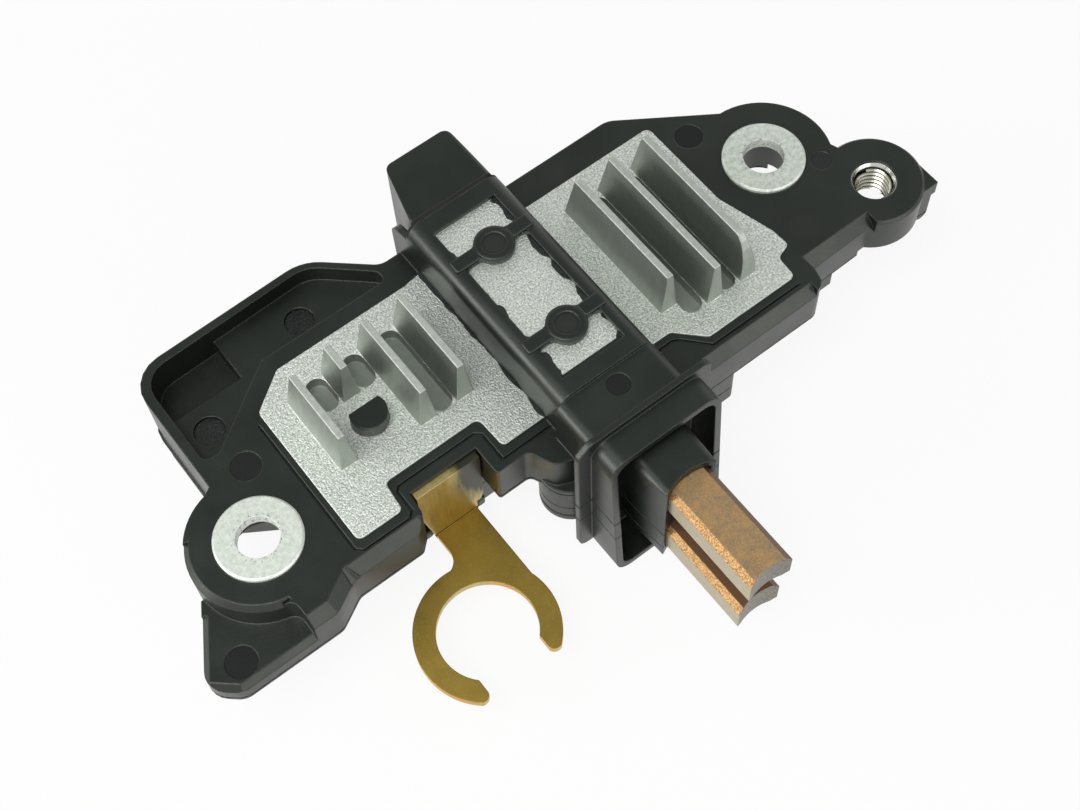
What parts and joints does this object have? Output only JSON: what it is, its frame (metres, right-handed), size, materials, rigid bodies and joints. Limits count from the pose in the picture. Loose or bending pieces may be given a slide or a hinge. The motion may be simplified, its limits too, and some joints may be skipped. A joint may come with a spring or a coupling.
{
  "type": "alternator voltage regulator",
  "caption": "Voltage regulator for an alternator, with a built-in brush holder, a finned heat sink, mounting ears, a threaded terminal and an open ring terminal.",
  "frame": {"origin": "middle of the left bush, on its top face", "axes": "+X towards the right bush, +Y from the brush tips to the rear cap, +Z out of the finned face, along both bushes"},
  "size_m": [0.1119, 0.0706, 0.0283],
  "materials": {
    "moulded_plastic": "satin",
    "cast_aluminium": "satin",
    "plated_steel": "satin",
    "brass_sheet": "satin",
    "copper_graphite": "matte",
    "spring_steel": "satin",
    "copper_strand": "satin",
    "copper_slug": "satin",
    "module_resin": "matte",
    "potting_resin": "matte"
  },
  "bodies": {
    "frame": {"housing": "moulded_plastic", "heat_sink": "cast_aluminium", "brush_cap": "moulded_plastic", "bush_left": "plated_steel", "bush_right": "plated_steel", "terminal_insert": "plated_steel", "ring_terminal": "brass_sheet", "spring_upper": "spring_steel", "spring_lower": "spring_steel", "lead_upper": "copper_strand", "lead_lower": "copper_strand", "strip_upper": "brass_sheet", "strip_lower": "brass_sheet", "insert_strip": "brass_sheet", "module_base": "copper_slug", "module_case": "module_resin", "potting": "potting_resin", "pocket_cover": "moulded_plastic"},
    "upper_brush": {"brush_upper": "copper_graphite"},
    "lower_brush": {"brush_lower": "copper_graphite"}
  },
  "joints": [
    {"name": "upper_brush_slide", "type": "slide", "parent": "frame", "child": "upper_brush", "axis": [0, 1, 0], "range_m": [0, 0.0135], "stiffness_N_per_m": 120, "springref_m": -0.02, "deforming": ["spring_upper", "lead_upper"]},
    {"name": "lower_brush_slide", "type": "slide", "parent": "frame", "child": "lower_brush", "axis": [0, 1, 0], "range_m": [0, 0.0125], "stiffness_N_per_m": 120, "springref_m": -0.02, "deforming": ["spring_lower", "lead_lower"]}
  ]
}
